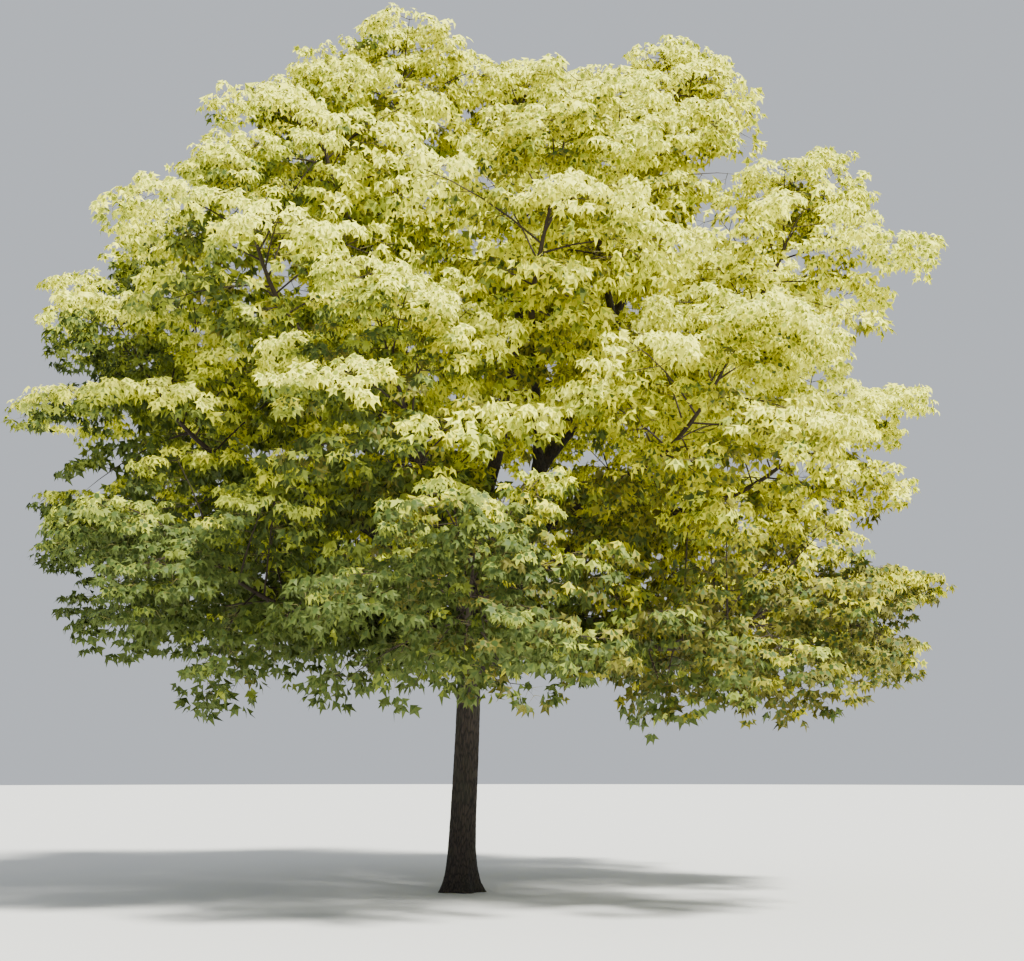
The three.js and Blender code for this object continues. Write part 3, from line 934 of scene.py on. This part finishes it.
def principled(name, color, roughness):
    """A material with one Principled shader, and that shader."""
    material = bpy.data.materials.new(name)
    material.use_nodes = True
    shader = material.node_tree.nodes["Principled BSDF"]
    shader.inputs["Base Color"].default_value = (*color, 1)
    shader.inputs["Roughness"].default_value = roughness
    return material, shader


def add_node(tree, kind, values=None, feeds=None, **settings):
    """A node with its settings, the plain values of its sockets and the outputs that feed them."""
    node = tree.nodes.new(kind)
    for name, value in settings.items():
        setattr(node, name, value)
    for socket, value in (values or {}).items():
        node.inputs[socket].default_value = value
    for socket, output in (feeds or {}).items():
        tree.links.new(output, node.inputs[socket])
    return node


# Pattern of the bark: its scale along a limb as a share of that across, how wide the cracks between
# its plates are, its fine grain and its blotches, where ridges and film come in, and its roughness
PATTERN_ALONG = 0.16
CRACK_WIDTH = 0.22
FINE_GRAIN = {"Scale": 3.1, "Detail": 6, "Roughness": 0.66}
FINE_GRAIN_HEIGHT = 0.45
BLOTCHES = {"Scale": 3.4, "Detail": 4}
RIDGE_RANGE = {"From Min": 0.2, "From Max": 1.4}
FILM_RANGE = {"From Min": 0.5, "From Max": 0.72}
ROUGHNESS_RANGE = {"To Min": 0.96, "To Max": 0.78}

# What differs between the trunk's bark and the limbs', and the roughness of each kind of wood
TRUNK_BARK = dict(scale=42, film=0.5, bump_distance=0.006)
LIMB_BARK = dict(scale=60, film=0.35, bump_distance=0.003)
BARK_ROUGHNESS = 0.9
TWIG_ROUGHNESS = 0.8
SHOOT_ROUGHNESS = 0.6

# Sockets of the bark's node group
BARK_SOCKETS = {
    "INPUT": {"Ridge Color": "Color", "Furrow Color": "Color", "Film Color": "Color",
              "Scale": "Float", "Film": "Float"},
    "OUTPUT": {"Color": "Color", "Roughness": "Float", "Height": "Float"},
}


def bark_group():
    """Node group of the bark's pattern: color, roughness and height from the unbent coordinates."""
    name = "Bark pattern"
    if name in bpy.data.node_groups:
        return bpy.data.node_groups[name]
    group = bpy.data.node_groups.new(name, "ShaderNodeTree")
    for way, sockets in BARK_SOCKETS.items():
        for label, kind in sockets.items():
            group.interface.new_socket(label, in_out=way, socket_type=f"NodeSocket{kind}")
    given = add_node(group, "NodeGroupInput").outputs
    place = add_node(group, "ShaderNodeAttribute", attribute_name="unbent").outputs["Vector"]

    # Coordinates drawn out along the limb, so that the pattern runs with the grain
    drawn = add_node(
        group, "ShaderNodeVectorMath", {1: (1, 1, PATTERN_ALONG)}, {0: place}, operation="MULTIPLY"
    )
    scaled = add_node(
        group, "ShaderNodeVectorMath", None, {0: drawn.outputs[0], "Scale": given["Scale"]},
        operation="SCALE",
    ).outputs[0]
    plates = add_node(
        group, "ShaderNodeTexVoronoi", {"Scale": 1, "Randomness": 1}, {"Vector": scaled},
        feature="DISTANCE_TO_EDGE",
    )
    crack = add_node(
        group, "ShaderNodeMapRange", {"From Max": CRACK_WIDTH}, {"Value": plates.outputs["Distance"]}
    )
    grain = add_node(group, "ShaderNodeTexNoise", FINE_GRAIN, {"Vector": scaled}).outputs["Fac"]
    blotch = add_node(group, "ShaderNodeTexNoise", BLOTCHES, {"Vector": place}).outputs["Fac"]
    height = add_node(
        group, "ShaderNodeMath", {1: FINE_GRAIN_HEIGHT}, {0: grain, 2: crack.outputs["Result"]},
        operation="MULTIPLY_ADD",
    ).outputs[0]
    ridge_share = add_node(group, "ShaderNodeMapRange", RIDGE_RANGE, {"Value": height})
    film_share = add_node(group, "ShaderNodeMapRange", FILM_RANGE, {"Value": blotch})
    film_amount = add_node(
        group, "ShaderNodeMath", None, {0: film_share.outputs["Result"], 1: given["Film"]},
        operation="MULTIPLY",
    )
    bare = mixed_color(group, ridge_share.outputs["Result"], given["Furrow Color"], given["Ridge Color"])
    coated = mixed_color(group, film_amount.outputs[0], bare, given["Film Color"])
    rough = add_node(group, "ShaderNodeMapRange", ROUGHNESS_RANGE, {"Value": grain})
    add_node(group, "NodeGroupOutput", None, {
        "Color": coated, "Roughness": rough.outputs["Result"], "Height": height,
    })
    return group


def mixed_color(tree, share, first, second):
    """The color between two others at a share that changes over the surface."""
    feeds = {"Factor": share, "A": first, "B": second}
    return add_node(tree, "ShaderNodeMix", None, feeds, data_type="RGBA").outputs["Result"]


def bark_material(name, settings, scale, film, bump_distance):
    """Bark from the shared pattern, at a scale, with some green film and a bump."""
    material, shader = principled(name, settings.ridge, BARK_ROUGHNESS)
    tree = material.node_tree
    values = {
        "Ridge Color": (*settings.ridge, 1),
        "Furrow Color": (*settings.furrow, 1),
        "Film Color": (*settings.lichen, 1),
        "Scale": scale,
        "Film": film,
    }
    pattern = add_node(tree, "ShaderNodeGroup", values, node_tree=bark_group()).outputs
    bump = add_node(tree, "ShaderNodeBump", {"Distance": bump_distance}, {"Height": pattern["Height"]})
    tree.links.new(pattern["Color"], shader.inputs["Base Color"])
    tree.links.new(pattern["Roughness"], shader.inputs["Roughness"])
    tree.links.new(bump.outputs["Normal"], shader.inputs["Normal"])
    return material


class MAPLE_OT_trunk(bpy.types.Operator):
    """Add the trunk with its root flare and furrowed bark"""

    bl_idname = "maple.trunk"
    bl_label = "Trunk"

    def execute(self, context):
        settings = context.scene.maple_bark
        trunk = grow_crown().limbs[0]
        samples = np.linspace(0, 1, HEIGHT_SAMPLES)
        heights = bezier(trunk.control, samples)[:, 2]

        def radius_at(shares, turn):
            return trunk_radius(np.interp(shares, samples, heights)[:, None], turn)

        parts = MeshParts()
        add_limb(parts, trunk, radius_at, settings.furrow_depth, TRUNK_SEED, **TRUNK_MESH, flat_foot=True)
        material = bark_material("trunk_bark", settings, **TRUNK_BARK)
        piece = parts.make("bark_trunk", [material])
        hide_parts("trunk")
        return {"FINISHED"}


class MAPLE_OT_limbs(bpy.types.Operator):
    """Add the leaders and the boughs with their bark"""

    bl_idname = "maple.limbs"
    bl_label = "Leaders and boughs"

    def execute(self, context):
        settings = context.scene.maple_bark
        material = bark_material("limb_bark", settings, **LIMB_BARK)
        groups = {}
        for number, limb in enumerate(grow_crown().limbs[1:]):
            kind = "leaders" if limb.name.startswith("leader") else "boughs_" + limb.name.split("_")[1]
            groups.setdefault(kind, []).append((number, limb))
        for kind, members in groups.items():
            mesh = LEADER_MESH if kind == "leaders" else BOUGH_MESH
            parts = MeshParts()
            for number, limb in members:

                def radius_at(shares, turn, limb=limb):
                    # The foot swells into a collar where the limb leaves its parent
                    past = np.maximum(shares * limb.length - limb.parent_radius, 0)
                    collar = 1 + COLLAR_SWELL * np.exp(-past / (COLLAR_LENGTH * limb.foot_radius))
                    return np.broadcast_to((limb.radius_at(shares) * collar)[:, None], turn.shape)

                add_limb(parts, limb, radius_at, settings.limb_depth, LIMB_SEED + number, **mesh)
            piece = parts.make(f"bark_{kind}", [material])
            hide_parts(*(limb.name for _, limb in members))
        return {"FINISHED"}


class MAPLE_OT_twigs(bpy.types.Operator):
    """Add the stems, twigs and shoots inside the masses of foliage"""

    bl_idname = "maple.twigs"
    bl_label = "Twigs"

    def execute(self, context):
        settings = context.scene.maple_bark
        woody = principled("twig_wood", settings.twig, TWIG_ROUGHNESS)[0]
        young = principled("young_shoot", settings.shoot, SHOOT_ROUGHNESS)[0]
        crown = grow_crown()
        for group in dict.fromkeys(mass.group for mass in crown.masses):
            members = [mass for mass in crown.masses if mass.group == group]
            parts = MeshParts()
            for mass in members:
                add_stem(parts, mass)
                for kind, mesh in WOOD.items():
                    add_twigs(parts, getattr(mass, kind), **mesh)
            piece = parts.make(f"twigs_{group}", [woody, young])
            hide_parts(*(f"mass_{mass.name}" for mass in members))
        return {"FINISHED"}


def add_stem(parts, mass):
    """The stem of a mass, which carries its limb's tip on to where the twigs begin to part."""
    shares = np.linspace(0, 1, STEM_RINGS + 1)
    path = bezier(mass.stem, shares)[None]
    radius = lerp(LIMB_TIP_RADIUS, STEM_END_RADIUS, shares)[None, :, None]
    points = tube_rings(path, radius, STEM_SIDES)[0, :-1].reshape(-1, 3)
    points = np.concatenate([points, path[0, -1:]])
    parts.add(points, tube_triangles(1, STEM_RINGS, STEM_SIDES), 0)


def leaf_pattern(half, notches):
    """A leaf's outline, its triangles, and which of them belong to its green middle."""
    first, second = notches
    outline = [(0, 0), *half, (LEAF_TIP, 0), *[(u, -v) for u, v in reversed(half)]]
    count = len(outline)

    def mirrored(index):
        return (count - index) % count

    base_notch = first + 1
    side_notch = second + 1
    right_lobes = [[0, *range(1, base_notch + 1)], list(range(base_notch, side_notch + 1))]
    left_lobes = [[mirrored(index) for index in lobe] for lobe in right_lobes]
    middle_lobe = list(range(side_notch, mirrored(side_notch) + 1))
    centre = [0, mirrored(base_notch), mirrored(side_notch), side_notch, base_notch]
    triangles = []
    green = []
    for polygon in [*(lobe[::-1] for lobe in right_lobes), *left_lobes, middle_lobe[::-1], centre[::-1]]:
        for i in range(1, len(polygon) - 1):
            triangles.append((polygon[0], polygon[i], polygon[i + 1]))
            green.append(set(polygon) == set(centre))
    return np.array(outline), np.array(triangles), np.array(green)


def inner_pattern():
    """The plainer leaf of the shaded inside, with three lobes."""
    green = np.arange(len(INNER_TRIANGLES)) == INNER_GREEN
    return np.array(INNER_OUTLINE), np.array(INNER_TRIANGLES), green


def add_leaves(parts, leaves, pattern, stalked=True):
    """The blades of many leaves, each on a slim stalk where it shows."""
    outline, triangles, green = pattern
    count = len(leaves.length)
    across = np.cross(leaves.facing, leaves.along)
    u = outline[:, 0, None]
    v = outline[:, 1, None]
    drop = -LOBE_SAG * v**2 - TIP_SAG * np.maximum(u - TIP_SAG_FROM, 0) ** 2
    length = leaves.length[:, None, None]
    blade = leaves.base[:, None] + length * (
        u * leaves.along[:, None]
        + v * across[:, None]
        + drop * leaves.sag[:, None, None] * leaves.facing[:, None]
    )
    looks = np.where(green, leaves.centre[:, None], leaves.margin[:, None])
    if stalked:
        corners = len(outline)
        stalk_half = across * STALK_HALF_WIDTH
        stalk = np.stack([leaves.foot - stalk_half, leaves.foot + stalk_half], 1)
        blade = np.concatenate([blade, stalk], axis=1)
        triangles = np.concatenate([triangles, [(0, corners, corners + 1)]])
        stalk_look = np.full((count, 1), len(MARGIN_TONES) + len(CENTRE_TONES))
        looks = np.concatenate([looks, stalk_look], axis=1)
    step = np.arange(count)[:, None, None] * blade.shape[1]
    parts.add(blade.reshape(-1, 3), (triangles + step).reshape(-1, 3), looks.ravel())


def chosen_leaves(leaves, keep):
    """Some of the leaves, with all that is known of them."""
    return SimpleNamespace(**{field: values[keep] for field, values in vars(leaves).items()})


class MAPLE_OT_leaves(bpy.types.Operator):
    """Add the leaves of each mass of foliage, in sprays on the tips of the twigs"""

    bl_idname = "maple.leaves"
    bl_label = "Leaves"

    def execute(self, context):
        settings = context.scene.maple_leaf
        tones = {**MARGIN_TONES, **CENTRE_TONES, "leaf_stalk": tuple(settings.stalk)}
        materials = []
        for name, color in tones.items():
            material, shader = principled(name, color, settings.roughness)
            shader.inputs["Specular IOR Level"].default_value = settings.gloss
            materials.append(material)
        fine = leaf_pattern(FINE_HALF, FINE_NOTCHES)
        coarse = leaf_pattern(COARSE_HALF, COARSE_NOTCHES)
        inner = inner_pattern()
        for number, mass in enumerate(grow_crown().masses):
            rng = np.random.default_rng([SEED, number, 1])
            leaves = grow_leaves(mass, settings.length, rng)
            showing = leaves.outer > FINE_LEAVES_FROM
            inside = leaves.outer <= INNER_LEAVES_TO
            parts = MeshParts()
            add_leaves(parts, chosen_leaves(leaves, showing), fine)
            add_leaves(parts, chosen_leaves(leaves, ~showing & ~inside), coarse)
            add_leaves(parts, chosen_leaves(leaves, inside), inner, stalked=False)
            piece = parts.make(f"leaves_{mass.name}", materials, smooth=False)
            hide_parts(f"mass_{mass.name}")
        return {"FINISHED"}


# The photograph's camera, the floor and the key light
CAMERA_LENS = 52.03
SENSOR_WIDTH = 36
CAMERA_PLACE = (0.65, -19.4, 1.55)
CAMERA_TILT = math.radians(10.96)
CAMERA_REACH = 500
FLOOR_RADIUS = 120.0
FLOOR_SIDES = 96
FLOOR_ROUGHNESS = 0.9
KEY_TURN = (math.radians(38), math.radians(12), math.radians(28))
KEY_SOFTNESS = math.radians(9)
KEY_COLOR = (1.0, 0.99, 0.92)


class MAPLE_OT_stage(bpy.types.Operator):
    """Add the floor, the soft light, the backdrop and the camera"""

    bl_idname = "maple.stage"
    bl_label = "Stage"

    def execute(self, context):
        settings = context.scene.maple_stage
        scene = context.scene
        floor = bpy.data.objects.new("floor", bpy.data.meshes.new("floor"))
        turns = [2 * math.pi * side / FLOOR_SIDES for side in range(FLOOR_SIDES)]
        corners = [(FLOOR_RADIUS * math.cos(turn), FLOOR_RADIUS * math.sin(turn), 0) for turn in turns]
        floor.data.from_pydata(corners, [], [list(range(FLOOR_SIDES))])
        floor.data.materials.append(principled("pale_floor", settings.floor, FLOOR_ROUGHNESS)[0])
        scene.collection.objects.link(floor)

        world = bpy.data.worlds.new("soft_backdrop")
        world.use_nodes = True
        light = world.node_tree.nodes["Background"]
        light.inputs["Color"].default_value = (*settings.sky, 1)
        light.inputs["Strength"].default_value = settings.fill_strength
        scene.world = world

        key = bpy.data.objects.new("key_light", bpy.data.lights.new("key_light", "SUN"))
        key.data.energy = settings.key_strength
        key.data.angle = KEY_SOFTNESS
        key.data.color = KEY_COLOR
        key.rotation_euler = KEY_TURN
        scene.collection.objects.link(key)

        camera = bpy.data.objects.new("camera", bpy.data.cameras.new("camera"))
        camera.data.sensor_width = SENSOR_WIDTH
        camera.data.lens = CAMERA_LENS
        camera.data.clip_end = CAMERA_REACH
        camera.location = CAMERA_PLACE
        camera.rotation_euler = (math.pi / 2 + CAMERA_TILT, 0, 0)
        scene.collection.objects.link(camera)
        scene.camera = camera
        return {"FINISHED"}


class MAPLE_PT_panel(bpy.types.Panel):
    """Lists the settings and the pieces of the maple"""

    bl_idname = "MAPLE_PT_panel"
    bl_label = "Variegated maple"
    bl_space_type = "VIEW_3D"
    bl_region_type = "UI"
    bl_category = "Maple"

    def draw(self, context):
        layout = self.layout
        for group in SETTINGS:
            settings = getattr(context.scene, group)
            box = layout.box()
            for label in settings.__annotations__:
                box.prop(settings, label)
        for operator in OPERATORS:
            layout.operator(operator.bl_idname)


SETTINGS = {
    "maple_bark": MapleBarkSettings,
    "maple_leaf": MapleLeafSettings,
    "maple_stage": MapleStageSettings,
}
OPERATORS = [MAPLE_OT_stage, MAPLE_OT_trunk, MAPLE_OT_limbs, MAPLE_OT_twigs, MAPLE_OT_leaves]


def register():
    for name, group in SETTINGS.items():
        bpy.utils.register_class(group)
        setattr(bpy.types.Scene, name, PointerProperty(type=group))
    for operator in OPERATORS:
        bpy.utils.register_class(operator)
    bpy.utils.register_class(MAPLE_PT_panel)


def unregister():
    bpy.utils.unregister_class(MAPLE_PT_panel)
    for operator in reversed(OPERATORS):
        bpy.utils.unregister_class(operator)
    for name, group in reversed(SETTINGS.items()):
        delattr(bpy.types.Scene, name)
        bpy.utils.unregister_class(group)


def main():
    """Builds the tree and its stage."""
    register()
    bpy.ops.maple.stage()
    bpy.ops.maple.trunk()
    bpy.ops.maple.limbs()
    bpy.ops.maple.twigs()
    bpy.ops.maple.leaves()


if __name__ == "__main__":
    main()
